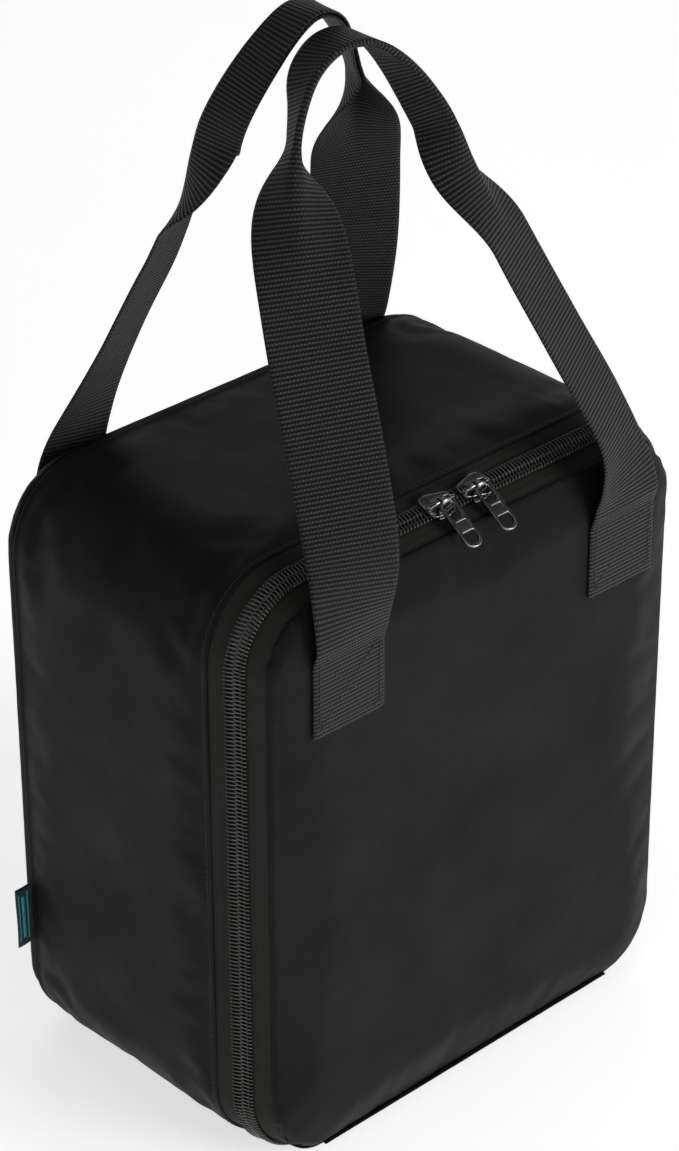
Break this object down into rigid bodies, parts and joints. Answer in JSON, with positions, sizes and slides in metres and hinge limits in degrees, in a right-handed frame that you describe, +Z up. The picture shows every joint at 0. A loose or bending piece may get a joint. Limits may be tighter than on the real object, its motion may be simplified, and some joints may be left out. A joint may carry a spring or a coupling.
{
  "type": "insulated cooler bag",
  "caption": "Soft insulated cooler bag, box shaped, with a drop-down zippered front door and two webbing carry handles.",
  "frame": {"origin": "middle of the bottom face that the bag stands on", "axes": "+Z up, -Y towards the front door, +X to the right as seen from the front"},
  "size_m": [0.295, 0.1976, 0.5344],
  "materials": {
    "shell_fabric": "matte twill with a slight sheen",
    "webbing": "ribbed polypropylene webbing",
    "zipper_tape": "herringbone tape",
    "coil": "satin nylon monofilament",
    "gunmetal": "polished dark nickel plate",
    "spring_steel": "plain",
    "foam": "closed-cell foam",
    "liner": "silver-grey heat-sealed film",
    "binding": "woven edge tape",
    "board": "plain board",
    "thread": "bonded polyester thread",
    "label": "woven label in two teals"
  },
  "bodies": {
    "shell": {"outer_gusset": "shell_fabric", "back_panel_outer": "shell_fabric", "gusset_foam": "foam", "back_foam": "foam", "gusset_liner": "liner", "back_liner": "liner", "back_seam_binding": "binding", "mouth_binding": "binding", "base_board": "board", "bottom_hinge_strip": "shell_fabric", "zipper_tape_body": "zipper_tape", "zipper_coil_body": "coil", "zipper_end_stops": "zipper_tape", "back_handle_sewn_ends": "webbing", "back_handle_stitching": "thread", "woven_label": "label"},
    "door": {"front_panel_outer": "shell_fabric", "door_foam": "foam", "door_liner": "liner", "door_seam_binding": "binding", "zipper_tape_door": "zipper_tape", "zipper_coil_door": "coil", "front_handle_sewn_ends": "webbing", "front_handle_stitching": "thread"},
    "slider_left": {"slider_left": "gunmetal", "slider_left_bridge": "gunmetal", "slider_left_lock_spring": "spring_steel"},
    "slider_right": {"slider_right": "gunmetal", "slider_right_bridge": "gunmetal", "slider_right_lock_spring": "spring_steel"},
    "pull_left": {"slider_left_pull": "gunmetal"},
    "pull_right": {"slider_right_pull": "gunmetal"},
    "front_handle": {"front_handle_loop": "webbing"},
    "back_handle": {"back_handle_loop": "webbing"}
  },
  "joints": [
    {"name": "door_hinge", "type": "hinge", "parent": "shell", "child": "door", "pos_m": [0, -0.0915, 0.0025], "axis": [1, 0, 0], "range_deg": [0, 90]},
    {"name": "slider_left_run", "type": "slide", "parent": "door", "child": "slider_left", "axis": [1, 0, 0], "range_m": [-0.046, 0.002]},
    {"name": "slider_right_run", "type": "slide", "parent": "door", "child": "slider_right", "axis": [1, 0, 0], "range_m": [-0.002, 0.046]},
    {"name": "pull_left_swing", "type": "hinge", "parent": "slider_left", "child": "pull_left", "pos_m": [-0.011, -0.07546, 0.32256], "axis": [1, 0, 0], "range_deg": [-190, 0]},
    {"name": "pull_right_swing", "type": "hinge", "parent": "slider_right", "child": "pull_right", "pos_m": [0.012, -0.07546, 0.32256], "axis": [1, 0, 0], "range_deg": [-190, 0]},
    {"name": "front_handle_fold", "type": "hinge", "parent": "door", "child": "front_handle", "pos_m": [0, -0.0976, 0.2895], "axis": [1, 0, 0], "range_deg": [0, 170]},
    {"name": "back_handle_fold", "type": "hinge", "parent": "shell", "child": "back_handle", "pos_m": [0, 0.0976, 0.2895], "axis": [-1, 0, 0], "range_deg": [0, 170]}
  ]
}
